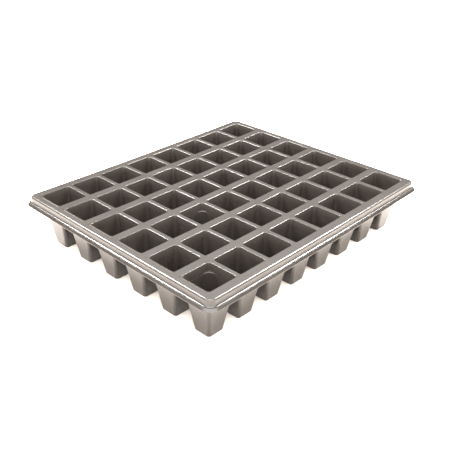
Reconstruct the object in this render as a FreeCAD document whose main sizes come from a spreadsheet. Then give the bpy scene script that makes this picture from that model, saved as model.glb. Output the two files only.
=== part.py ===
import FreeCAD, Part
import Sketcher
import math
import os

# Plug tray: one thin moulded sheet with 8 x 6 tapered square cells, a flat deck between
# their mouths and a stepped rim round the deck.
#
# Frame: X along the eight-cell side, Y along the six-cell side, Z up. The origin is under
# the middle of the tray, level with the undersides of the cells.

SHEET_NAME = "Sizes"

# Every driving dimension, in millimetres unless its name says that it is a count.
DRIVING_SIZES = (
    ("columns_count", "8", "cells along X"),
    ("rows_count", "6", "cells along Y"),
    ("pitch_long", "40.5", "from one cell to the next along X"),
    ("pitch_short", "45.2", "from one cell to the next along Y"),
    ("tray_height", "58.4", "from the cell undersides to the top of the deck"),
    ("deck_sheet", "1.1", "thickness of the deck and the rim"),
    ("wall_sheet", "0.9", "thickness of a cell wall, measured level"),
    ("floor_sheet", "1", "thickness of a cell floor"),
    ("mouth_width", "35.6", "inside width of a cell at the deck, before rounding"),
    ("mouth_round", "0.8", "radius of the edge between the deck and a cell wall"),
    ("collar_width", "38", "side of the square of deck that belongs to one cell"),
    ("base_width", "20.2", "outside width of a cell at its underside"),
    ("outside_corner", "3.2", "radius of a cell's four corners, outside"),
    ("inside_corner", "4.8", "radius of a cell's four corners, inside"),
    ("base_round", "1.5", "radius of the outside edge between wall and underside"),
    ("floor_round", "2", "radius of the inside edge between wall and floor"),
    ("drain_diameter", "9", "drain hole in a cell floor"),
    ("shoulder_start", "1.2", "from the deck down to where a stacking cell's shoulders begin"),
    ("shoulder_depth", "6.2", "from the deck down to where the slope of the shoulders ends"),
    ("shoulder_corner", "12", "corner radius inside a stacking cell where that slope ends"),
    ("shoulder_foot", "5", "corner radius inside a stacking cell at its floor"),
    ("deck_length", "338.6", "deck edge to deck edge along X"),
    ("deck_width", "283.6", "deck edge to deck edge along Y"),
    ("deck_corner", "7.6", "corner radius of the deck edge"),
    ("edge_round", "2.2", "radius of the edge between the deck and the skirt"),
    ("ledge_depth", "7.1", "from the deck down to the rim's ledge"),
    ("cove_radius", "2.1", "hollow between the skirt and the ledge"),
    ("ridge_reach", "2.5", "from the skirt out to the ridge where the ledge ends"),
    ("ridge_round", "0.5", "radius of the ridge"),
    ("lip_reach", "4.5", "from the skirt out to the trimmed edge of the lip"),
    ("lip_depth", "9.4", "from the deck down to the top of the trimmed edge"),
    ("trim_round", "0.3", "radius of the trimmed edge's upper corner"),
)

STACKING_CELLS = ("a1", "c3")
ROW_LETTERS = "abcdefghijklmnopqrstuvwxyz"
TOUCH = 0.02
QUARTER_TURN = 90
SQUARE_CORNERS = ((-1, -1), (1, -1), (1, 1), (-1, 1))


# ---------------------------------------------------------------- the sheet of sizes

def make_sheet(doc):
    """Writes the driving dimensions, one a row, with an alias and what each one is."""
    sheet = doc.addObject("Spreadsheet::Sheet", SHEET_NAME)
    for row, (alias, value, meaning) in enumerate(DRIVING_SIZES, start=1):
        sheet.set("A%d" % row, alias)
        sheet.set("B%d" % row, value)
        sheet.set("C%d" % row, meaning)
        sheet.setAlias("B%d" % row, alias)
    doc.recompute()
    return sheet


def signed_names(terms):
    """Splits a sum such as "ledge_depth - cove_radius" into (sign, name) pairs."""
    for part in terms.replace("-", "+ -").split("+"):
        name = part.replace("-", "").strip()
        if name:
            yield (-1 if "-" in part else 1), name


def amount(sheet, terms):
    """The value in millimetres of a sum of sizes. The word nothing is zero."""
    return sum(sign * sheet.get(name) for sign, name in signed_names(terms) if name != "nothing")


def formula(terms):
    """The same sum as an expression on the sheet."""
    pairs = ["%s %s.%s" % ("-" if sign < 0 else "+", SHEET_NAME, name) for sign, name in signed_names(terms)]
    return " ".join(pairs).lstrip("+ ")


def bound(text):
    """Puts the sheet's name before each size in a longer formula, written {size}."""
    return text.replace("{", SHEET_NAME + ".").replace("}", "")


# ---------------------------------------------------------------- sketches

def origin_plane(body, role):
    """One of a body's own origin planes."""
    for feature in body.Origin.OriginFeatures:
        if feature.Role == role:
            return feature
    raise RuntimeError("%s has no %s" % (body.Label, role))


def make_sketch(body, name, plane, height=None):
    """A sketch on an origin plane, raised to the height that a formula gives."""
    sketch = body.newObject("Sketcher::SketchObject", name)
    sketch.AttachmentSupport = [(origin_plane(body, plane), "")]
    sketch.MapMode = "FlatFace"
    if height is not None:
        sketch.setExpression("AttachmentOffset.Base.z", bound(height))
    return sketch


def name_size(sketch, constraint, name, expression):
    """Adds a dimension and binds it to the sheet."""
    index = sketch.addConstraint(constraint)
    sketch.renameConstraint(index, name)
    sketch.setExpression("Constraints." + name, expression)


def draw_rounded_square(sketch, width, corner, first_width, first_corner):
    """A square about the origin with round corners. The last two only start the solver."""
    half = first_width / 2
    inner = half - first_corner
    across = [(-inner, -half), (inner, -half), (half, -inner), (half, inner),
              (inner, half), (-inner, half), (-half, inner), (-half, -inner)]
    points = [FreeCAD.Vector(x, y, 0) for x, y in across]
    centres = [(inner, -inner), (inner, inner), (-inner, inner), (-inner, -inner)]
    quarter = math.radians(QUARTER_TURN)
    for side, (x, y) in enumerate(centres):
        sketch.addGeometry(Part.LineSegment(points[2 * side], points[2 * side + 1]), False)
        circle = Part.Circle(FreeCAD.Vector(x, y, 0), FreeCAD.Vector(0, 0, 1), first_corner)
        start = (side - 1) * quarter
        sketch.addGeometry(Part.ArcOfCircle(circle, start, start + quarter), False)
    edges = 2 * len(centres)
    for edge in range(edges):
        sketch.addConstraint(Sketcher.Constraint("Tangent", edge, 2, (edge + 1) % edges, 1))
    for edge in (0, 4):
        sketch.addConstraint(Sketcher.Constraint("Horizontal", edge))
        sketch.addConstraint(Sketcher.Constraint("Vertical", edge + 2))
    for arc in (3, 5, 7):
        sketch.addConstraint(Sketcher.Constraint("Equal", 1, arc))
    sketch.addConstraint(Sketcher.Constraint("Symmetric", 1, 3, 5, 3, -1, 1))
    name_size(sketch, Sketcher.Constraint("DistanceX", 6, 1, 2, 2, first_width), "width", bound(width))
    name_size(sketch, Sketcher.Constraint("DistanceY", 0, 1, 4, 2, first_width), "depth", bound(width))
    name_size(sketch, Sketcher.Constraint("Radius", 1, first_corner), "corner", bound(corner))


def place_point(sketch, edge, end, terms_pair):
    """Holds one end of a line at a place given as two sums of sizes."""
    for kind, axis, terms in (("DistanceX", -2, terms_pair[0]), ("DistanceY", -1, terms_pair[1])):
        if terms == "nothing":
            sketch.addConstraint(Sketcher.Constraint("PointOnObject", edge, end, axis))
            continue
        value = amount(sketch.Document.getObject(SHEET_NAME), terms)
        constraint = Sketcher.Constraint(kind, -1, 1, edge, end, value)
        name_size(sketch, constraint, "%s_%d_%d" % (kind, edge, end), formula(terms))


def draw_section(sketch, sheet, runs):
    """A closed section of straight runs, each with the round that follows it, if any.

    A run is (start, end, round), its points are pairs of sums, and a round is (centre, radius).
    """
    def place(pair):
        return FreeCAD.Vector(amount(sheet, pair[0]), amount(sheet, pair[1]), 0)

    for start, end, _ in runs:
        sketch.addGeometry(Part.LineSegment(place(start), place(end)), False)
    for edge, (start, end, curve) in enumerate(runs):
        place_point(sketch, edge, 1, start)
        following = (edge + 1) % len(runs)
        if curve is None:
            sketch.addConstraint(Sketcher.Constraint("Coincident", edge, 2, following, 1))
            continue
        place_point(sketch, edge, 2, end)
        centre, radius = curve
        middle = place(centre)
        before = place(end)
        after = place(runs[following][0])
        turns_left = (before - middle).cross(after - middle).z > 0
        first, last = (before, after) if turns_left else (after, before)
        level = FreeCAD.Vector(1, 0, 0)
        angles = []
        for point in (first, last):
            arm = point - middle
            angle = level.getAngle(arm)
            angles.append(angle if arm.y >= 0 else -angle)
        circle = Part.Circle(middle, FreeCAD.Vector(0, 0, 1), amount(sheet, radius))
        arc = sketch.addGeometry(Part.ArcOfCircle(circle, angles[0], angles[1]), False)
        sketch.addConstraint(Sketcher.Constraint("Coincident", arc, 1 if turns_left else 2, edge, 2))
        sketch.addConstraint(Sketcher.Constraint("Coincident", arc, 2 if turns_left else 1, following, 1))
        size = Sketcher.Constraint("Radius", arc, amount(sheet, radius))
        name_size(sketch, size, "radius_%d" % edge, formula(radius))


def level_edges(height, reach):
    """A test for the edges at one height and within a distance of both middle planes."""
    def test(edge):
        return all(abs(vertex.Z - height) < TOUCH and max(abs(vertex.X), abs(vertex.Y)) < reach + TOUCH
                   for vertex in edge.Vertexes)
    return test


def rising_edges(low, high):
    """A test for the edges that run from one height to another."""
    def test(edge):
        heights = sorted(vertex.Z for vertex in edge.Vertexes)
        return len(heights) == 2 and abs(heights[0] - low) < TOUCH and abs(heights[1] - high) < TOUCH
    return test


def add_fillet(body, name, base, test, radius):
    """Rounds the edges of a feature that pass a test, with a radius from the sheet."""
    names = ["Edge%d" % number for number, edge in enumerate(base.Shape.Edges, start=1) if test(edge)]
    if not names:
        raise RuntimeError("%s found no edges in %s" % (name, body.Label))
    fillet = body.newObject("PartDesign::Fillet", name)
    fillet.Base = (base, names)
    fillet.setExpression("Radius", bound(radius))
    body.Document.recompute()
    return fillet


# ---------------------------------------------------------------- cells

# The outside of a cell narrows in a straight line from the deck's top to its underside, and
# the inside runs parallel to it, one wall sheet further in.
OUTER_AT = "{base_width} + ({mouth_width} + 2 * {wall_sheet} - {base_width}) * (%s) / {tray_height}"
INNER_AT = OUTER_AT + " - 2 * {wall_sheet}"
DECK_UNDERSIDE = "{tray_height} - {deck_sheet}"
SHOULDER_TOP = "{tray_height} - {shoulder_start}"
SHOULDER_EDGE = "{tray_height} - {shoulder_depth}"


def add_taper(body, name, kind, bottom, top, bottom_width, top_width):
    """A square block about the body's axis whose sides lean outwards from bottom to top."""
    taper = body.newObject(kind, name)
    taper.AttachmentSupport = [(origin_plane(body, "XZ_Plane"), "")]
    taper.MapMode = "FlatFace"
    taper.setExpression("Ymin", bound(bottom))
    taper.setExpression("Ymax", bound(top))
    for axis in "XZ":
        for end, width in ((axis, bottom_width), (axis + "2", top_width)):
            taper.setExpression(end + "min", bound("-(%s) / 2" % width))
            taper.setExpression(end + "max", bound("(%s) / 2" % width))
    body.Document.recompute()
    return taper


def add_lower_cavity(body):
    """The cavity of a stacking cell from its shoulders down: its corners slope, then drop."""
    sheet = body.Document.getObject(SHEET_NAME)
    levels = ((SHOULDER_TOP, "{inside_corner}"), (SHOULDER_EDGE, "{shoulder_corner}"),
              ("{floor_sheet}", "{shoulder_foot}"))
    sections = []
    for step, (height, corner) in enumerate(levels):
        sketch = make_sketch(body, "lower_cavity_level_%d" % step, "XY_Plane", height)
        draw_rounded_square(sketch, INNER_AT % height, corner, sheet.base_width, sheet.inside_corner)
        sections.append(sketch)
    body.Document.recompute()
    cavity = body.newObject("PartDesign::SubtractiveLoft", "lower_cavity")
    cavity.Profile = sections[0]
    cavity.Sections = sections[1:]
    cavity.Ruled = True
    body.Document.recompute()
    return cavity


def add_collar(body):
    """The square of deck round the mouth, solid until the cavity is cut."""
    sheet = body.Document.getObject(SHEET_NAME)
    half = sheet.collar_width / 2
    sketch = make_sketch(body, "collar_outline", "XY_Plane", DECK_UNDERSIDE)
    corners = [FreeCAD.Vector(half * x, half * y, 0) for x, y in SQUARE_CORNERS]
    for side in range(4):
        sketch.addGeometry(Part.LineSegment(corners[side], corners[(side + 1) % 4]), False)
    for side in range(4):
        sketch.addConstraint(Sketcher.Constraint("Coincident", side, 2, (side + 1) % 4, 1))
    for side in (0, 2):
        sketch.addConstraint(Sketcher.Constraint("Horizontal", side))
        sketch.addConstraint(Sketcher.Constraint("Vertical", side + 1))
    sketch.addConstraint(Sketcher.Constraint("Symmetric", 0, 1, 2, 1, -1, 1))
    name_size(sketch, Sketcher.Constraint("DistanceX", 0, 1, 0, 2, 2 * half), "width", bound("{collar_width}"))
    name_size(sketch, Sketcher.Constraint("DistanceY", 1, 1, 1, 2, 2 * half), "depth", bound("{collar_width}"))
    collar = body.newObject("PartDesign::Pad", "collar")
    collar.Profile = sketch
    collar.setExpression("Length", bound("{deck_sheet}"))
    body.Document.recompute()
    return collar


def add_drain(body, base):
    """The round drain hole through the floor."""
    sheet = body.Document.getObject(SHEET_NAME)
    sketch = make_sketch(body, "drain_outline", "XY_Plane")
    radius = sheet.drain_diameter / 2
    circle = Part.Circle(FreeCAD.Vector(0, 0, 0), FreeCAD.Vector(0, 0, 1), radius)
    sketch.addGeometry(circle, False)
    sketch.addConstraint(Sketcher.Constraint("Coincident", 0, 3, -1, 1))
    name_size(sketch, Sketcher.Constraint("Diameter", 0, 2 * radius), "bore", bound("{drain_diameter}"))
    drain = body.newObject("PartDesign::Pocket", "drain")
    drain.Profile = sketch
    drain.Reversed = True
    drain.setExpression("Length", bound("2 * {floor_sheet}"))
    body.Document.recompute()
    if drain.Shape.Volume > base.Shape.Volume - TOUCH:
        raise RuntimeError("the drain of %s cuts nothing" % body.Label)
    return drain


def make_cell_pattern(doc, name, has_shoulders):
    """One cell about its own axis, from which every cell of its kind is copied."""
    sheet = doc.getObject(SHEET_NAME)
    top = sheet.tray_height
    floor = sheet.floor_sheet
    mouth_bottom = top - sheet.shoulder_start if has_shoulders else floor
    mouth_bottom_name = SHOULDER_TOP if has_shoulders else "{floor_sheet}"
    half_mouth = sheet.mouth_width / 2
    body = doc.addObject("PartDesign::Body", name)
    body.Label = name
    add_collar(body)
    add_taper(body, "outside", "PartDesign::AdditiveWedge", "0 mm", DECK_UNDERSIDE,
              "{base_width}", OUTER_AT % DECK_UNDERSIDE)
    solid = add_taper(body, "cavity", "PartDesign::SubtractiveWedge", mouth_bottom_name, "{tray_height}",
                      INNER_AT % mouth_bottom_name, "{mouth_width}")
    corners = rising_edges(mouth_bottom, top)
    solid = add_fillet(body, "cavity_corners", solid, corners, "{inside_corner}")
    if has_shoulders:
        solid = add_lower_cavity(body)
    corners = rising_edges(0, top - sheet.deck_sheet)
    solid = add_fillet(body, "outside_corners", solid, corners, "{outside_corner}")
    solid = add_fillet(body, "base_edge", solid, level_edges(0, half_mouth), "{base_round}")
    solid = add_fillet(body, "floor_edge", solid, level_edges(floor, half_mouth), "{floor_round}")
    solid = add_fillet(body, "mouth_edge", solid, level_edges(top, half_mouth), "{mouth_round}")
    body.Tip = add_drain(body, solid)
    doc.recompute()
    return body


def copy_cell(doc, pattern, name, column, row):
    """A cell of its own, copied from a pattern and placed by its column and row."""
    body = doc.addObject("PartDesign::Body", name)
    body.Label = name
    copy = doc.addObject("PartDesign::FeatureBase", name + "_copy")
    body.Group = [copy]
    copy.BaseFeature = pattern
    body.Tip = copy
    place = "(%d - ({%s} - 1) / 2) * {%s}"
    body.setExpression("Placement.Base.x", bound(place % (column, "columns_count", "pitch_long")))
    body.setExpression("Placement.Base.y", bound(place % (row, "rows_count", "pitch_short")))
    return body


def make_cells(doc):
    """All the cells. Rows have letters from the front, and columns numbers from the left."""
    sheet = doc.getObject(SHEET_NAME)
    plain = make_cell_pattern(doc, "plain_pattern", False)
    stacking = make_cell_pattern(doc, "stacking_pattern", True)
    cells = []
    for row in range(int(sheet.rows_count)):
        for column in range(int(sheet.columns_count)):
            place = "%s%d" % (ROW_LETTERS[row], column + 1)
            pattern = stacking if place in STACKING_CELLS else plain
            cells.append(copy_cell(doc, pattern, "cell_" + place, column, row))
    return cells


# ---------------------------------------------------------------- deck

def make_bar(doc, name, centre_x, centre_y, length, width):
    """One flat bar of the deck, with its top level with the deck's."""
    bar = doc.addObject("Part::Box", name)
    bar.Label = name
    bar.setExpression("Length", bound(length))
    bar.setExpression("Width", bound(width))
    bar.setExpression("Height", bound("{deck_sheet}"))
    bar.setExpression("Placement.Base.x", bound("%s - (%s) / 2" % (centre_x, length)))
    bar.setExpression("Placement.Base.y", bound("%s - (%s) / 2" % (centre_y, width)))
    bar.setExpression("Placement.Base.z", bound(DECK_UNDERSIDE))
    return bar


def make_group(doc, name, bars):
    """Bars that stay separate solids, in one sub-part."""
    group = doc.addObject("Part::Compound", name)
    group.Label = name
    group.Links = bars
    return group


def border(length, count, pitch):
    """Width of the strip between the outermost collars and the rim."""
    return "({%s} / 2 - {deck_corner} - ({%s} - 1) / 2 * {%s} - {collar_width} / 2)" % (length, count, pitch)


def edge_centre(length, strip):
    """Distance from the middle of the tray to the middle of such a strip."""
    return "({%s} / 2 - {deck_corner} - %s / 2)" % (length, strip)


def make_rails(doc):
    """The bars of deck that run the whole length of the tray, between the rows of cells."""
    sheet = doc.getObject(SHEET_NAME)
    length = "({deck_length} - 2 * {deck_corner})"
    rails = []
    for gap in range(1, int(sheet.rows_count)):
        centre = "((%d - {rows_count} / 2) * {pitch_short})" % gap
        width = "({pitch_short} - {collar_width})"
        rails.append(make_bar(doc, "rail_%d" % gap, "0", centre, length, width))
    strip = border("deck_width", "rows_count", "pitch_short")
    centre = edge_centre("deck_width", strip)
    rails.append(make_bar(doc, "rail_rear", "0", centre, length, strip))
    rails.append(make_bar(doc, "rail_front", "0", "-" + centre, length, strip))
    return make_group(doc, "deck_rails", rails)


def make_webs(doc):
    """The short bars of deck between neighbouring cells of a row, and at the row's ends."""
    sheet = doc.getObject(SHEET_NAME)
    strip = border("deck_length", "columns_count", "pitch_long")
    end = edge_centre("deck_length", strip)
    webs = []
    for row in range(int(sheet.rows_count)):
        centre_y = "((%d - ({rows_count} - 1) / 2) * {pitch_short})" % row
        letter = ROW_LETTERS[row]
        for gap in range(1, int(sheet.columns_count)):
            centre_x = "((%d - {columns_count} / 2) * {pitch_long})" % gap
            width = "({pitch_long} - {collar_width})"
            webs.append(make_bar(doc, "web_%s%d" % (letter, gap), centre_x, centre_y, width, "{collar_width}"))
        webs.append(make_bar(doc, "web_%s_right" % letter, end, centre_y, strip, "{collar_width}"))
        webs.append(make_bar(doc, "web_%s_left" % letter, "-" + end, centre_y, strip, "{collar_width}"))
    return make_group(doc, "deck_webs", webs)


# ---------------------------------------------------------------- rim

def rim_runs(edge):
    """The rim's section, from the deck's border over the skirt, cove and ledge to the lip.

    It is measured outwards from the skirt and up from the deck's top. The edge is added to
    every distance outwards, so that the same section serves a straight side and a corner.
    """
    def out(terms):
        if edge == "nothing":
            return terms
        if terms == "nothing":
            return edge
        if terms == "-" + edge:
            return "nothing"
        return "%s %s" % (edge, terms if terms.startswith("-") else "+ " + terms)

    cove_centre = (out("cove_radius"), "-ledge_depth + cove_radius")
    round_centre = (out("-edge_round"), "-edge_round")
    under = "-ledge_depth - deck_sheet"
    inside = "-deck_sheet"
    start = out("-deck_corner")
    return [
        ((start, "nothing"), (out("-edge_round"), "nothing"), (round_centre, "edge_round")),
        ((out("nothing"), "-edge_round"), (out("nothing"), "-ledge_depth + cove_radius"),
         (cove_centre, "cove_radius")),
        ((out("cove_radius"), "-ledge_depth"), (out("ridge_reach"), "-ledge_depth"), None),
        ((out("ridge_reach"), "-ledge_depth"), (out("lip_reach"), "-lip_depth"), None),
        ((out("lip_reach"), "-lip_depth"), (out("lip_reach"), "-lip_depth - deck_sheet"), None),
        ((out("lip_reach"), "-lip_depth - deck_sheet"), (out("ridge_reach"), under), None),
        ((out("ridge_reach"), under), (out("cove_radius"), under), (cove_centre, "cove_radius + deck_sheet")),
        ((out(inside), "-ledge_depth + cove_radius"), (out(inside), "-edge_round"),
         (round_centre, "edge_round - deck_sheet")),
        ((out("-edge_round"), "-deck_sheet"), (start, "-deck_sheet"), None),
        ((start, "-deck_sheet"), (start, "nothing"), None),
    ]


def round_rim(body, solid, reach_of):
    """Rounds the ridge and the trimmed edge, found by their reach from the skirt."""
    sheet = body.Document.getObject(SHEET_NAME)

    def edges_at(reach, depth):
        return lambda edge: all(abs(reach_of(vertex) - reach) < TOUCH and abs(vertex.Z + depth) < TOUCH
                                for vertex in edge.Vertexes)

    ridge = edges_at(sheet.ridge_reach, sheet.ledge_depth)
    solid = add_fillet(body, "ridge_edge", solid, ridge, "{ridge_round}")
    trim = edges_at(sheet.lip_reach, sheet.lip_depth)
    return add_fillet(body, "trim_edge", solid, trim, "{trim_round}")


def place_rim(body, quarters, x, y):
    """Turns a piece of rim about Z by quarter turns and puts it on its side or corner of the deck."""
    axis = FreeCAD.Vector(0, 0, 1)
    turn = FreeCAD.Rotation(axis, quarters * QUARTER_TURN)
    body.Placement = FreeCAD.Placement(FreeCAD.Vector(0, 0, 0), turn)
    body.setExpression("Placement.Base.x", bound(x))
    body.setExpression("Placement.Base.y", bound(y))
    body.setExpression("Placement.Base.z", bound("{tray_height}"))


def make_rim_side(doc, name, length, quarters, x, y):
    """A straight side of the rim, between two corners."""
    sheet = doc.getObject(SHEET_NAME)
    body = doc.addObject("PartDesign::Body", name)
    body.Label = name
    sketch = make_sketch(body, "side_section", "XZ_Plane")
    draw_section(sketch, sheet, rim_runs("nothing"))
    doc.recompute()
    side = body.newObject("PartDesign::Pad", "side")
    side.Profile = sketch
    side.SideType = "Symmetric"
    side.setExpression("Length", bound("{%s} - 2 * {deck_corner}" % length))
    doc.recompute()
    body.Tip = round_rim(body, side, lambda vertex: vertex.X)
    place_rim(body, quarters, x, y)
    return body


def make_rim_corner(doc, name, quarters, x, y):
    """A quarter turn of the rim about the centre of the deck's corner radius."""
    sheet = doc.getObject(SHEET_NAME)
    body = doc.addObject("PartDesign::Body", name)
    body.Label = name
    sketch = make_sketch(body, "corner_section", "XZ_Plane")
    draw_section(sketch, sheet, rim_runs("deck_corner"))
    doc.recompute()
    corner = body.newObject("PartDesign::Revolution", "corner")
    corner.Profile = sketch
    corner.ReferenceAxis = (sketch, ["V_Axis"])
    corner.Angle = QUARTER_TURN
    doc.recompute()
    radius = sheet.deck_corner
    body.Tip = round_rim(body, corner, lambda vertex: math.hypot(vertex.X, vertex.Y) - radius)
    place_rim(body, quarters, x, y)
    return body


def make_rim(doc):
    """Four straight sides and four corners."""
    half_length = "{deck_length} / 2"
    half_width = "{deck_width} / 2"
    corner_x = "(%s - {deck_corner})" % half_length
    corner_y = "(%s - {deck_corner})" % half_width
    return [
        make_rim_side(doc, "rim_right", "deck_width", 0, half_length, "0"),
        make_rim_side(doc, "rim_rear", "deck_length", 1, "0", half_width),
        make_rim_side(doc, "rim_left", "deck_width", 2, "-" + half_length, "0"),
        make_rim_side(doc, "rim_front", "deck_length", 3, "0", "-" + half_width),
        make_rim_corner(doc, "rim_corner_rear_right", 0, corner_x, corner_y),
        make_rim_corner(doc, "rim_corner_rear_left", 1, "-" + corner_x, corner_y),
        make_rim_corner(doc, "rim_corner_front_left", 2, "-" + corner_x, "-" + corner_y),
        make_rim_corner(doc, "rim_corner_front_right", 3, corner_x, "-" + corner_y),
    ]


# ---------------------------------------------------------------- checks and files

def check(doc, parts):
    """Stops if any object failed, or any sub-part has no sound solid."""
    for thing in doc.Objects:
        if "Invalid" in thing.State or "Error" in thing.State:
            raise RuntimeError("%s is in state %s" % (thing.Name, thing.State))
    for part in parts:
        if part.Shape.isNull() or not part.Shape.isValid() or not part.Shape.Solids:
            raise RuntimeError("%s has no valid solid" % part.Label)


def write_parts(parts):
    """One STEP file for each sub-part, named by its label."""
    os.makedirs("parts", exist_ok=True)
    for part in parts:
        part.Shape.exportStep(os.path.join("parts", part.Label + ".step"))


def main():
    doc = FreeCAD.newDocument("plug_tray")
    make_sheet(doc)
    parts = make_cells(doc) + [make_rails(doc), make_webs(doc)] + make_rim(doc)
    doc.recompute()
    check(doc, parts)
    write_parts(parts)
    for part in parts:
        box = part.Shape.BoundBox
        print("%-24s %9.1f mm3  x %7.2f %7.2f  y %7.2f %7.2f  z %6.2f %6.2f" % (
            part.Label, part.Shape.Volume, box.XMin, box.XMax, box.YMin, box.YMax, box.ZMin, box.ZMax))


main()
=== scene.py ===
import math

import bpy
from mathutils import Matrix, Vector, noise


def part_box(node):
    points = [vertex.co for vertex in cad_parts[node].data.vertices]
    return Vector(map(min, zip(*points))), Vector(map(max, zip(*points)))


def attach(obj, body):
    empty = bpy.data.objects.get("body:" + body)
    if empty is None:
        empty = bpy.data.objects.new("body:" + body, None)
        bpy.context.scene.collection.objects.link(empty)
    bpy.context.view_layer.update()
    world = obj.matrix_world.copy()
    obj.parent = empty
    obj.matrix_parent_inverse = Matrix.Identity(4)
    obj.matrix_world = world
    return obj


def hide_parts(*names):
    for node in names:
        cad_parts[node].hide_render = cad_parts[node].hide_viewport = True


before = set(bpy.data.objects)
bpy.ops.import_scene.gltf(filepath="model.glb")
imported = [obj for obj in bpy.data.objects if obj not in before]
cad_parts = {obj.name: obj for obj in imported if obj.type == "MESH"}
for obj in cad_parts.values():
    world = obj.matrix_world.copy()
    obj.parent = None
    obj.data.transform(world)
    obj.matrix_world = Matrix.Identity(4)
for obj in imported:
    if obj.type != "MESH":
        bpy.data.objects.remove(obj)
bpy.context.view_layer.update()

# A plug tray: one thin moulded sheet. The deck, the rim and every cell are closed meshes that
# share their border points, so that the sheet reads as one piece. Everything is in metres.

MM = 0.001

# Places closer than this, in metres, count as the same.
SAME = 1e-9


# ---------------------------------------------------------------- sizes from the frame

def centre_of(node):
    low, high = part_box(node)
    return (low + high) / 2


cell_nodes = sorted(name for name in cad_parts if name.startswith("cell_"))
row_letters = sorted({name[5] for name in cell_nodes})
columns = sorted({int(name[6:]) for name in cell_nodes})
column_x = [centre_of("cell_%s%d" % (row_letters[0], column)).x for column in columns]
row_y = [centre_of("cell_%s%d" % (letter, columns[0])).y for letter in row_letters]

first_low, first_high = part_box("cell_" + row_letters[0] + str(columns[0]))
deck_top = first_high.z
collar = (first_high.x - first_low.x) / 2
deck_low, deck_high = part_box("deck_rails")
deck_sheet = deck_high.z - deck_low.z
border_x, border_y = deck_high.x, deck_high.y

# Sizes inside a cell and across the rim, which the boxes of the nodes don't give.
MOUTH = 17.8 * MM
MOUTH_ROUND = 0.8 * MM
IN_CORNER = 3.4 * MM
OUT_CORNER = 3.2 * MM
WALL = 0.9 * MM
FLOOR = 1.0 * MM
BASE = 10.1 * MM
BASE_ROUND = 1.5 * MM
FLOOR_ROUND = 2.0 * MM
NECK_ROUND = 0.3 * MM
DRAIN = 4.5 * MM
DRAIN_ROUND = 0.25 * MM
SHOULDER_CORNER = 12.0 * MM
SHOULDER_FOOT = 5.0 * MM
SHOULDER_DEPTH = 9.3 * MM
SHOULDER_WALL_SLOPE = 0.29
SHOULDER_ARC_SLOPE = 0.48
DECK_CORNER = 7.6 * MM
EDGE_ROUND = 2.2 * MM
LEDGE_DEPTH = 7.1 * MM
COVE = 2.1 * MM
RIDGE = 2.5 * MM
RIDGE_ROUND = 0.3 * MM
LIP = 4.5 * MM
LIP_DEPTH = 9.4 * MM
TRIM_ROUND = 0.2 * MM
STACKING_CELLS = ("cell_a1", "cell_c3")

TAPER = (MOUTH + WALL - BASE) / deck_top
LEAN = math.atan(TAPER)
TURN = math.pi / 2 - LEAN

# How far the sheet strays from flat, and how often it does so in a metre.
CURL = 1.0 * MM
SWELL, SWELL_RATE = 0.2 * MM, 9
RIPPLE, RIPPLE_RATE = 0.04 * MM, 45
SWAY, SWAY_RATE, SWAY_RATE_DOWN = 0.12 * MM, 30, 20

# Mesh density.
CORNER_STEPS = 8
SIDE_STEPS = 6
RING_QUARTER = CORNER_STEPS + SIDE_STEPS
ROUND_STEPS = 6
SMALL_ROUND_STEPS = 3
WALL_STEPS = 8
RIM_CORNER_STEPS = 12
DECK_SQUARE = 2.5 * MM


# ---------------------------------------------------------------- rings of points

def on_circle(centre, radius, angle):
    return Vector(centre) + radius * Vector((math.cos(angle), math.sin(angle)))


def ring(half, radius):
    """Points of a square with round corners, from the middle of one corner round to it again."""
    arm = half - radius
    half_steps = CORNER_STEPS // 2
    turns = [math.pi / 4 * step / half_steps for step in range(half_steps)]
    points = []
    for quarter in range(4):
        spin = Matrix.Rotation(quarter * math.pi / 2, 2)
        first = [on_circle((arm, -arm), radius, turn - math.pi / 4) for turn in turns]
        side = [Vector((half, arm * (2 * step / SIDE_STEPS - 1))) for step in range(SIDE_STEPS)]
        last = [on_circle((arm, arm), radius, turn) for turn in turns]
        points += [spin @ point for point in first + side + last]
    return points


def square_ring(half, like):
    """The same number of points on a sharp square, each out from its partner on a round one."""
    points = []
    for point in like:
        if min(abs(point.x), abs(point.y)) > MOUTH - IN_CORNER + SAME:
            points.append(point * half / max(abs(point.x), abs(point.y)))
        elif abs(point.x) >= abs(point.y):
            points.append(Vector((math.copysign(half, point.x), point.y)))
        else:
            points.append(Vector((point.x, math.copysign(half, point.y))))
    return points


def circle_ring(radius, like):
    """The same number of points on a circle, each towards its partner."""
    return [point.normalized() * radius for point in like]


MOUTH_START = MOUTH + MOUTH_ROUND * math.tan(TURN / 2)
COLLAR_RING = square_ring(collar, ring(MOUTH_START, MOUTH_START - MOUTH + IN_CORNER))
STATIONS = sorted({round(point.x, 9) for point in COLLAR_RING if abs(point.y + collar) < SAME})


# ---------------------------------------------------------------- mesh building

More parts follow.
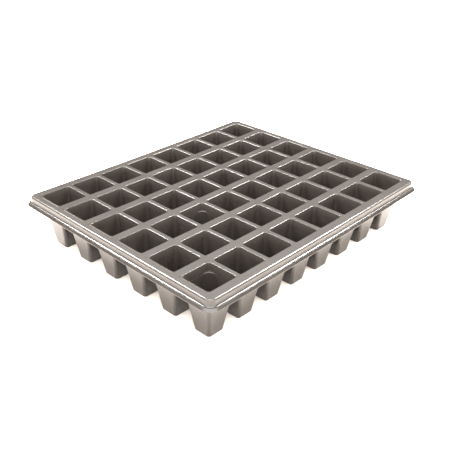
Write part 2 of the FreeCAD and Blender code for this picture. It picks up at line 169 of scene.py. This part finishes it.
class Shell:
    """Collects points and faces of one closed piece, joining points that fall together. A
    point's edge value, from 0 to 1, says how far it belongs to a rounded edge; the material paints a
    highlight there by that value."""

    def __init__(self):
        self.points = []
        self.index = {}
        self.faces = []
        self.edge_of = []

    def point(self, place, edge=0.0):
        key = tuple(round(value * 1e7) for value in place)
        if key not in self.index:
            self.index[key] = len(self.points)
            self.points.append(Vector(place))
            self.edge_of.append(edge)
        return self.index[key]

    def face(self, corners):
        unique = []
        for corner in corners:
            if corner not in unique:
                unique.append(corner)
        if len(unique) > 2:
            self.faces.append(unique)

    def band(self, lower, upper):
        """Quads between two closed rings of point numbers."""
        for k in range(len(lower)):
            after = (k + 1) % len(lower)
            self.face([lower[k], lower[after], upper[after], upper[k]])

    def build(self, name, material):
        """Makes the object, lets the sheet wander a little, and shades it smooth but for corners."""
        mesh = bpy.data.meshes.new(name)
        mesh.from_pydata([wander(point) for point in self.points], [], self.faces)
        mesh.validate()
        edge = mesh.attributes.new("edge", "FLOAT", "POINT")
        edge.data.foreach_set("value", self.edge_of)
        mesh.shade_smooth()
        mesh.set_sharp_from_angle(angle=math.radians(50))
        piece = bpy.data.objects.new(name, mesh)
        bpy.context.scene.collection.objects.link(piece)
        mesh.materials.append(material)
        normals = piece.modifiers.new("even_normals", "WEIGHTED_NORMAL")
        normals.weight = 90
        normals.keep_sharp = True
        return piece


def wander(point):
    """Moulded sheet is never quite flat: both ends curl up a little, and it rises and falls
    slowly from place to place. All of it fades out towards the feet."""
    share = max(0.0, min(1.0, point.z / deck_top))
    curl = CURL * (point.x / border_x) ** 2
    swell = SWELL * noise.noise(Vector((point.x * SWELL_RATE, point.y * SWELL_RATE, 3.1)))
    ripple = RIPPLE * noise.noise(Vector((point.x * RIPPLE_RATE, point.y * RIPPLE_RATE, 7.7)))
    x, y, z = point.x * SWAY_RATE, point.y * SWAY_RATE, point.z * SWAY_RATE_DOWN
    sway_x = SWAY * noise.noise(Vector((x, y, 11.0 + z)))
    sway_y = SWAY * noise.noise(Vector((x, y, 17.0 + z)))
    return point + share * Vector((sway_x, sway_y, curl + swell + ripple))


# ---------------------------------------------------------------- cells

def inner_half(z):
    return BASE - WALL + TAPER * z


def outer_half(z):
    return inner_half(z) + WALL


def inside_radius(z):
    """Corner radius inside an ordinary cell, the same at every height."""
    return IN_CORNER


def outside_radius(z):
    """Corner radius outside a cell, the same at every height."""
    return OUT_CORNER


def shoulder_radius(z):
    """Corner radius inside a stacking cell, below its shoulders."""
    return SHOULDER_FOOT + (SHOULDER_CORNER - SHOULDER_FOOT) * (z - FLOOR) / (deck_top - FLOOR)


def shoulder_fall(point, slope):
    """Depth of a stacking cell's shoulders at a place on the plan of the mouth. They are
    deepest where they run out into the walls, and rise towards the corner."""
    away = (MOUTH - abs(point.x) + MOUTH - abs(point.y)) / math.sqrt(2)
    return SHOULDER_DEPTH - slope * max(0.0, SHOULDER_CORNER / math.sqrt(2) - away)


def shoulder_wall_ring():
    """Where the shoulders meet the walls: the partner of each point of the wide-cornered ring."""
    run = SHOULDER_CORNER - IN_CORNER
    length = run + IN_CORNER * math.pi / 4
    half_steps = CORNER_STEPS // 2
    points = ring(MOUTH, SHOULDER_CORNER)
    for quarter in range(4):
        spin = Matrix.Rotation(quarter * math.pi / 2, 2)
        start = quarter * RING_QUARTER + half_steps
        for step in range(half_steps):
            before = corner_place(length * (step + 1) / half_steps, run)
            points[start - step - 1] = spin @ Vector((before.x, -before.y))
            points[start + SIDE_STEPS + step] = spin @ corner_place(length * step / half_steps, run)
    return points


def corner_place(travel, run):
    """A place on the mouth's plan, some way from a wide corner's start towards its middle."""
    if travel <= run:
        return Vector((MOUTH, MOUTH - SHOULDER_CORNER + travel))
    arm = MOUTH - IN_CORNER
    return on_circle((arm, arm), IN_CORNER, (travel - run) / IN_CORNER)


def shoulder_levels():
    """The rings of a stacking cell's shoulders, as (points, edge), down to the wall below."""
    arc_line = ring(MOUTH, SHOULDER_CORNER)
    wall_line = shoulder_wall_ring()
    rows = [(wall_line, [shoulder_fall(point, SHOULDER_WALL_SLOPE) for point in wall_line], 0.0)]
    for set_back, drop, edge in ((0.9 * MM, 0.0, 0.3), (0.25 * MM, 0.15 * MM, 1.0), (0.0, 0.6 * MM, 0.5)):
        falls = [shoulder_fall(point, SHOULDER_ARC_SLOPE) + drop for point in arc_line]
        rows.append((ring(MOUTH, SHOULDER_CORNER - set_back), falls, edge))
    levels = []
    for points, falls, edge in rows:
        placed = []
        for point, fall in zip(points, falls):
            flat = point * inner_half(deck_top - fall) / MOUTH
            placed.append(Vector((flat.x, flat.y, deck_top - fall)))
        levels.append((placed, edge))
    return levels


def mouth_rings():
    """The rounded edge from the deck down into the cell: (half width, radius, height, edge)."""
    rings = []
    for step in range(ROUND_STEPS + 1):
        angle = TURN * step / ROUND_STEPS
        half = MOUTH_START - MOUTH_ROUND * math.sin(angle)
        z = deck_top - MOUTH_ROUND * (1 - math.cos(angle))
        rings.append((half, half - MOUTH + IN_CORNER, z, math.sin(angle)))
    return rings


def rounded_foot(radius_of, half_of, level, size, edge):
    """A rounded turn from a tapered wall to a level floor, from the wall inwards."""
    z_centre = level + size
    centre = half_of(z_centre) - size / math.cos(LEAN)
    arm = half_of(level) - radius_of(level)
    rings = []
    for step in range(ROUND_STEPS + 1):
        angle = LEAN + TURN * step / ROUND_STEPS
        half = centre + size * math.cos(angle)
        z = z_centre - size * math.sin(angle)
        rings.append((half, max(half - arm, 0.3 * MM), z, edge * math.sin(2 * angle)))
    return rings


def wall_rings(top, bottom, half_of, radius_of):
    """Evenly spaced rings down a wall, without its two ends."""
    rings = []
    for step in range(1, WALL_STEPS):
        z = top + (bottom - top) * step / WALL_STEPS
        rings.append((half_of(z), radius_of(z), z, 0.0))
    return rings


def level_rings(rings):
    """Rings given by (half width, radius, height, edge), as (points, edge)."""
    levels = []
    for half, radius, z, edge in rings:
        levels.append(([point.to_3d() + Vector((0, 0, z)) for point in ring(half, radius)], edge))
    return levels


def inside_rings(has_shoulders):
    """The rings of a cell's inside, from the mouth down to the floor."""
    radius_of = shoulder_radius if has_shoulders else inside_radius
    mouth = mouth_rings()
    foot = rounded_foot(radius_of, inner_half, FLOOR, FLOOR_ROUND, 0.0)
    rings = level_rings(mouth)
    wall_top = mouth[-1][2]
    if has_shoulders:
        rings += shoulder_levels()
        wall_top = deck_top - SHOULDER_DEPTH - MM
        rings += level_rings([(inner_half(wall_top), radius_of(wall_top), wall_top, 0.0)])
    return rings + level_rings(wall_rings(wall_top, foot[0][2], inner_half, radius_of) + foot)


def outside_rings():
    """The rings of a cell's outside, from the foot up to the deck."""
    rings = rounded_foot(outside_radius, outer_half, 0.0, BASE_ROUND, 0.6)[::-1]
    neck_z = deck_top - deck_sheet - NECK_ROUND
    neck_half = outer_half(neck_z)
    rings += wall_rings(rings[-1][2], neck_z, outer_half, outside_radius)
    for step in range(SMALL_ROUND_STEPS + 1):
        angle = math.pi / 2 * step / SMALL_ROUND_STEPS
        spread = NECK_ROUND * (1 - math.cos(angle))
        rings.append((neck_half + spread, OUT_CORNER + spread, neck_z + NECK_ROUND * math.sin(angle), 0.0))
    return level_rings(rings)


def make_cell(node, material):
    """A cell with its square of deck: collar, mouth, cavity, floor, drain, foot and outside."""
    middle = centre_of(node)
    shell = Shell()

    def put(points, edge=0.0):
        return [shell.point((middle.x + p.x, middle.y + p.y, p.z), edge) for p in points]

    def put_level(points, z, edge=0.0):
        return put([Vector((p.x, p.y, z)) for p in points], edge)

    inside = inside_rings(node in STACKING_CELLS)
    floor_ring = [point.to_2d() for point in inside[-1][0]]
    chain = [put_level(COLLAR_RING, deck_top)]
    chain += [put(points, edge) for points, edge in inside]
    chain += [put_level(circle_ring(radius, floor_ring), z, edge=0.5) for radius, z in drain_steps()]
    chain += [put(points, edge) for points, edge in outside_rings()]
    chain.append(put_level(COLLAR_RING, deck_top - deck_sheet))
    for upper, lower in zip(chain, chain[1:]):
        shell.band(lower, upper)
    shell.band(chain[0], chain[-1])
    finish_piece(shell.build(node + "_skin", material), node)


def drain_steps():
    """Radius and height down the edge of the drain hole, rounded at both faces."""
    steps = []
    for step in range(SMALL_ROUND_STEPS + 1):
        angle = math.pi / 2 * step / SMALL_ROUND_STEPS
        radius = DRAIN + DRAIN_ROUND * (1 - math.sin(angle))
        steps.append((radius, FLOOR - DRAIN_ROUND * (1 - math.cos(angle))))
    return steps + [(radius, FLOOR - z) for radius, z in steps[::-1]]


def finish_piece(piece, *nodes):
    """Hands a finished piece to the frame."""
    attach(piece, "root")
    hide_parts(*nodes)


# ---------------------------------------------------------------- deck

def axis_lines(centres, border):
    """Grid lines along one axis: every collar's stations, the gaps between, and the border."""
    lines = []
    for centre in centres:
        lines += [round(centre + station, 9) for station in STATIONS]
    for left, right in zip(centres, centres[1:]):
        start, end = left + collar, right - collar
        steps = max(2, round((end - start) / DECK_SQUARE))
        lines += [round(start + (end - start) * step / steps, 9) for step in range(1, steps)]
    return sorted(set(lines + [-border, border]))


def in_collar(value, centres):
    return any(abs(value - centre) < collar for centre in centres)


X_LINES = axis_lines(column_x, border_x)
Y_LINES = axis_lines(row_y, border_y)


def make_deck(material):
    """The grid of deck between the cells, with a square opening for each cell's collar."""
    shell = Shell()
    top, under = deck_top, deck_top - deck_sheet
    solid = set()
    for i in range(len(X_LINES) - 1):
        for j in range(len(Y_LINES) - 1):
            x = (X_LINES[i] + X_LINES[i + 1]) / 2
            y = (Y_LINES[j] + Y_LINES[j + 1]) / 2
            if not (in_collar(x, column_x) and in_collar(y, row_y)):
                solid.add((i, j))
    for i, j in sorted(solid):
        square = [(X_LINES[i], Y_LINES[j]), (X_LINES[i + 1], Y_LINES[j]),
                  (X_LINES[i + 1], Y_LINES[j + 1]), (X_LINES[i], Y_LINES[j + 1])]
        upper = [shell.point((x, y, top)) for x, y in square]
        lower = [shell.point((x, y, under)) for x, y in square]
        shell.face(upper)
        shell.face(lower[::-1])
        for side, neighbour in enumerate(((i, j - 1), (i + 1, j), (i, j + 1), (i - 1, j))):
            if neighbour not in solid:
                after = (side + 1) % 4
                shell.face([lower[side], lower[after], upper[after], upper[side]])
    finish_piece(shell.build("deck_grid", material), "deck_rails", "deck_webs")


# ---------------------------------------------------------------- rim

def arc(centre, radius, start, end, steps, edge=0.0):
    """Points of a round in the rim's section, as (reach, depth, edge)."""
    points = []
    for step in range(steps + 1):
        angle = math.radians(start + (end - start) * step / steps)
        share = math.sin(math.pi * step / steps) if edge else 0.0
        spot = on_circle(centre, radius, -angle)
        points.append((spot.x, spot.y, edge * share))
    return points


def corner_round(before, corner, after, radius, steps, edge):
    """A round that replaces the corner between two straight runs of the section."""
    a = (Vector(before) - Vector(corner)).normalized()
    b = (Vector(after) - Vector(corner)).normalized()
    half_angle = a.angle(b) / 2
    reach = radius / math.tan(half_angle)
    centre = Vector(corner) + (a + b).normalized() * radius / math.sin(half_angle)
    first = Vector(corner) + a * reach - centre
    turn = math.pi - 2 * half_angle
    if first.x * (b.y * reach - a.y * reach) - first.y * (b.x * reach - a.x * reach) < 0:
        turn = -turn
    points = []
    for step in range(steps + 1):
        angle = turn * step / steps
        arm = Vector((first.x * math.cos(angle) - first.y * math.sin(angle),
                      first.x * math.sin(angle) + first.y * math.cos(angle)))
        spot = centre + arm
        points.append((spot.x, spot.y, edge * math.sin(math.pi * step / steps)))
    return points


def straight(start, end, steps):
    """Points between two places of the section, without its ends."""
    points = []
    for step in range(1, steps):
        spot = Vector(start).lerp(Vector(end), step / steps)
        points.append((spot.x, spot.y, 0.0))
    return points


def rim_section():
    """The rim's section as (reach outwards from the skirt, depth below the deck, edge)."""
    cove = (COVE, LEDGE_DEPTH - COVE)
    under = LEDGE_DEPTH + deck_sheet
    ridge = (RIDGE, LEDGE_DEPTH)
    lip = (LIP, LIP_DEPTH)
    trim = (LIP, LIP_DEPTH + deck_sheet)
    section = [(-DECK_CORNER, 0.0, 0.0), (-(DECK_CORNER + EDGE_ROUND) / 2, 0.0, 0.0)]
    section += arc((-EDGE_ROUND, EDGE_ROUND), EDGE_ROUND, 90, 0, 8, 1.0)
    section += straight((0, EDGE_ROUND), (0, cove[1]), 3)
    section += arc(cove, COVE, 180, 270, 10)
    section += corner_round((COVE, LEDGE_DEPTH), ridge, lip, RIDGE_ROUND, 6, 1.0)
    section += straight(ridge, lip, 3)[1:]
    section += corner_round(ridge, lip, trim, TRIM_ROUND, 4, 1.0)
    section += corner_round(lip, trim, (RIDGE, under), TRIM_ROUND, 4, 0.8)
    section += [(RIDGE, under, 0.0)]
    section += arc(cove, COVE + deck_sheet, 270, 180, 10)
    section += straight((-deck_sheet, cove[1]), (-deck_sheet, EDGE_ROUND), 2)
    section += arc((-EDGE_ROUND, EDGE_ROUND), EDGE_ROUND - deck_sheet, 0, 90, 5)
    section += [(-DECK_CORNER, deck_sheet, 0.0)]
    return section


def rim_path():
    """Places round the deck's border with the way out at each: (x, y, outward direction)."""
    path = []
    corners = ((border_x, border_y), (-border_x, border_y), (-border_x, -border_y), (border_x, -border_y))
    for quarter, (x, y) in enumerate(corners):
        for step in range(RIM_CORNER_STEPS + 1):
            angle = math.pi / 2 * (quarter + step / RIM_CORNER_STEPS)
            path.append((x, y, on_circle((0, 0), 1.0, angle)))
        next_x, next_y = corners[(quarter + 1) % 4]
        outward = path[-1][2]
        if abs(next_y - y) < MM:
            lines = X_LINES if next_x > x else X_LINES[::-1]
            path += [(line, y, outward) for line in lines[1:-1]]
        else:
            lines = Y_LINES if next_y > y else Y_LINES[::-1]
            path += [(x, line, outward) for line in lines[1:-1]]
    return path


def make_rim(material):
    """The skirt, cove, ledge and lip, swept all the way round the deck."""
    shell = Shell()
    rings = []
    path = rim_path()
    for reach, depth, edge in rim_section():
        row = []
        for x, y, outward in path:
            spot = Vector((x, y)) + outward * (reach + DECK_CORNER)
            row.append(shell.point((spot.x, spot.y, deck_top - depth), edge))
        rings.append(row)
    for upper, lower in zip(rings, rings[1:] + rings[:1]):
        shell.band(lower, upper)
    rim_nodes = [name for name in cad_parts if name.startswith("rim_")]
    finish_piece(shell.build("rim_skin", material), *rim_nodes)


# ---------------------------------------------------------------- materials

def new_material(name):
    material = bpy.data.materials.new(name)
    material.use_nodes = True
    tree = material.node_tree
    shader = tree.nodes["Principled BSDF"]
    return material, tree, shader


def add_node(tree, kind, **values):
    """A node with its sockets or properties set by name."""
    node = tree.nodes.new(kind)
    for key, value in values.items():
        if key in node.inputs:
            node.inputs[key].default_value = value
        else:
            setattr(node, key, value)
    return node


def plastic(name):
    """Warm grey moulded plastic: a fine grain, a cloudy tone and sheen, and rounded edges painted paler as
    a painted highlight.
    """
    material, tree, shader = new_material(name)
    link = tree.links.new
    place = add_node(tree, "ShaderNodeTexCoord").outputs["Object"]
    cloud = add_node(tree, "ShaderNodeTexNoise", Scale=38.0, Detail=4.0, Roughness=0.6)
    fleck = add_node(tree, "ShaderNodeTexNoise", Scale=900.0, Detail=2.0, Roughness=0.7)
    link(place, cloud.inputs["Vector"])
    link(place, fleck.inputs["Vector"])
    tone = add_node(tree, "ShaderNodeValToRGB")
    tone.color_ramp.elements[0].position = 0.3
    tone.color_ramp.elements[0].color = (0.0185, 0.0155, 0.0133, 1)
    tone.color_ramp.elements[1].position = 0.72
    tone.color_ramp.elements[1].color = (0.025, 0.0213, 0.0184, 1)
    link(cloud.outputs["Fac"], tone.inputs["Fac"])
    speck = add_node(tree, "ShaderNodeMix", data_type="RGBA", blend_type="OVERLAY")
    speck.inputs["Factor"].default_value = 0.22
    link(tone.outputs["Color"], speck.inputs["A"])
    link(fleck.outputs["Color"], speck.inputs["B"])
    # Rounded edges are painted paler by their edge value: a painted highlight.
    edge = add_node(tree, "ShaderNodeAttribute", attribute_name="edge")
    painted_edge_highlight = add_node(tree, "ShaderNodeMix", data_type="RGBA")
    painted_edge_highlight.inputs["B"].default_value = (0.042, 0.037, 0.032, 1)
    share = add_node(tree, "ShaderNodeMath", operation="MULTIPLY")
    share.inputs[1].default_value = 0.45
    link(edge.outputs["Fac"], share.inputs[0])
    link(share.outputs[0], painted_edge_highlight.inputs["Factor"])
    link(speck.outputs["Result"], painted_edge_highlight.inputs["A"])
    link(painted_edge_highlight.outputs["Result"], shader.inputs["Base Color"])
    rough = add_node(tree, "ShaderNodeMapRange")
    rough.inputs["To Min"].default_value = 0.15
    rough.inputs["To Max"].default_value = 0.24
    link(cloud.outputs["Fac"], rough.inputs["Value"])
    link(rough.outputs["Result"], shader.inputs["Roughness"])
    grain = add_node(tree, "ShaderNodeTexNoise", Scale=1500.0, Detail=3.0, Roughness=0.55)
    link(place, grain.inputs["Vector"])
    bump = add_node(tree, "ShaderNodeBump", Strength=0.35, Distance=0.00012)
    link(grain.outputs["Fac"], bump.inputs["Height"])
    link(bump.outputs["Normal"], shader.inputs["Normal"])
    shader.inputs["IOR"].default_value = 1.5
    return material


def floor_material():
    """Warm white studio paper with a faint tooth."""
    material, tree, shader = new_material("studio_paper")
    link = tree.links.new
    place = add_node(tree, "ShaderNodeTexCoord").outputs["Object"]
    tooth = add_node(tree, "ShaderNodeTexNoise", Scale=400.0, Detail=2.0)
    link(place, tooth.inputs["Vector"])
    tone = add_node(tree, "ShaderNodeValToRGB")
    tone.color_ramp.elements[0].color = (0.86, 0.79, 0.73, 1)
    tone.color_ramp.elements[1].color = (0.89, 0.82, 0.76, 1)
    link(tooth.outputs["Fac"], tone.inputs["Fac"])
    link(tone.outputs["Color"], shader.inputs["Base Color"])
    shader.inputs["Roughness"].default_value = 0.9
    shader.inputs["Specular IOR Level"].default_value = 0.2
    return material


# ---------------------------------------------------------------- studio

# The sky's brightness by the height of the direction, from level (0) to overhead (1), behind
# the tray and in front of it. Lengths below are in metres, angles in degrees.
SKY_BACK = ((0.0, 0.03), (0.35, 0.03), (0.43, 0.03), (0.51, 0.13), (0.6, 0.22), (0.75, 0.05),
            (0.92, 0.06), (0.97, 0.8), (1.0, 0.8))
SKY_FRONT = ((0.0, 0.5), (0.2, 0.4), (0.4, 0.25), (0.55, 0.5), (0.75, 0.5), (0.88, 0.1), (0.93, 0.1),
             (0.97, 0.8), (1.0, 0.8))
SKY_STRENGTH = 18.7
SKY_TINT = (1.0, 0.985, 0.965)
FLOOR_REACH = 5.0
BOX_SIDE = 0.5
BOX_DISTANCE = 1.8
CAMERA_PLACE = Vector((-0.4980, -0.4632, deck_top + 0.3346))
CAMERA_AZIMUTH, CAMERA_ELEVATION, CAMERA_ROLL = -45.354, 29.333, 0.254
CAMERA_LENS = 53.29
CAMERA_SHIFT = 0.0378


def towards(azimuth, elevation):
    """The direction from the tray to something, from an azimuth and an elevation in degrees."""
    a, e = math.radians(azimuth), math.radians(elevation)
    return Vector((math.sin(a) * math.cos(e), -math.cos(a) * math.cos(e), math.sin(e)))


def make_floor():
    corners = [(x * FLOOR_REACH, y * FLOOR_REACH, 0) for x, y in ((-1, -1), (1, -1), (1, 1), (-1, 1))]
    mesh = bpy.data.meshes.new("floor")
    mesh.from_pydata(corners, [], [(0, 1, 2, 3)])
    mesh.materials.append(floor_material())
    floor = bpy.data.objects.new("floor", mesh)
    bpy.context.scene.collection.objects.link(floor)


def make_soft_box(name, azimuth, elevation, radiance, colour):
    """A square soft box that looks at the tray from a direction, in degrees."""
    away = towards(azimuth, elevation)
    lamp = bpy.data.lights.new(name, "AREA")
    lamp.shape = "SQUARE"
    lamp.size = BOX_SIDE
    lamp.energy = radiance * math.pi * BOX_SIDE ** 2
    lamp.color = colour
    light = bpy.data.objects.new(name, lamp)
    light.location = away * BOX_DISTANCE + Vector((0, 0, deck_top))
    light.rotation_euler = away.to_track_quat("Z", "Y").to_euler()
    bpy.context.scene.collection.objects.link(light)


def sky_ramp(tree, levels, height):
    """A ramp of brightness over the height of the direction."""
    glow = add_node(tree, "ShaderNodeValToRGB")
    ramp = glow.color_ramp
    ramp.elements[0].position, ramp.elements[1].position = levels[0][0], levels[-1][0]
    for position, _ in levels[1:-1]:
        ramp.elements.new(position)
    for element, (_, level) in zip(ramp.elements, levels):
        element.color = (*(level * share for share in SKY_TINT), 1)
    tree.links.new(height, glow.inputs["Fac"])
    return glow.outputs["Color"]


def make_world():
    """Soft light from all round: bright overhead and in front of the tray, dim behind it."""
    world = bpy.data.worlds.new("studio")
    bpy.context.scene.world = world
    world.use_nodes = True
    tree = world.node_tree
    link = tree.links.new
    parts = add_node(tree, "ShaderNodeSeparateXYZ")
    link(add_node(tree, "ShaderNodeTexCoord").outputs["Generated"], parts.inputs["Vector"])
    front = add_node(tree, "ShaderNodeMath", operation="ADD")
    link(parts.outputs["X"], front.inputs[0])
    link(parts.outputs["Y"], front.inputs[1])
    share = add_node(tree, "ShaderNodeMapRange")
    share.inputs["From Min"].default_value = -0.25
    share.inputs["From Max"].default_value = -0.7
    link(front.outputs[0], share.inputs["Value"])
    mix = add_node(tree, "ShaderNodeMix", data_type="RGBA")
    link(share.outputs["Result"], mix.inputs["Factor"])
    link(sky_ramp(tree, SKY_BACK, parts.outputs["Z"]), mix.inputs["A"])
    link(sky_ramp(tree, SKY_FRONT, parts.outputs["Z"]), mix.inputs["B"])
    back = tree.nodes["Background"]
    link(mix.outputs["Result"], back.inputs["Color"])
    back.inputs["Strength"].default_value = SKY_STRENGTH


def make_soft_boxes():
    """Two boxes behind the tray, whose mirror images run along the far edge of every mouth."""
    make_soft_box("left_box", -167, 49, 130.0, (1.0, 0.99, 0.97))
    make_soft_box("right_box", 77, 48, 120.0, (1.0, 0.98, 0.95))


def make_camera():
    """The camera looks across the front left corner, from a little above."""
    back = towards(CAMERA_AZIMUTH, CAMERA_ELEVATION)
    level = towards(CAMERA_AZIMUTH + 90, 0)
    roll = math.radians(CAMERA_ROLL)
    right = math.cos(roll) * level + math.sin(roll) * back.cross(level)
    turn = Matrix((right, back.cross(right), back)).transposed()
    camera = bpy.data.objects.new("camera", bpy.data.cameras.new("camera"))
    bpy.context.scene.collection.objects.link(camera)
    camera.matrix_world = Matrix.Translation(CAMERA_PLACE) @ turn.to_4x4()
    camera.data.lens = CAMERA_LENS
    camera.data.sensor_width = 36
    camera.data.shift_x = CAMERA_SHIFT
    camera.data.clip_end = 50
    bpy.context.scene.camera = camera


def main():
    tray = plastic("tray_plastic")
    for node in cell_nodes:
        make_cell(node, tray)
    make_deck(tray)
    make_rim(tray)
    make_floor()
    make_soft_boxes()
    make_world()
    make_camera()
    bpy.context.scene.view_settings.view_transform = "Standard"


main()
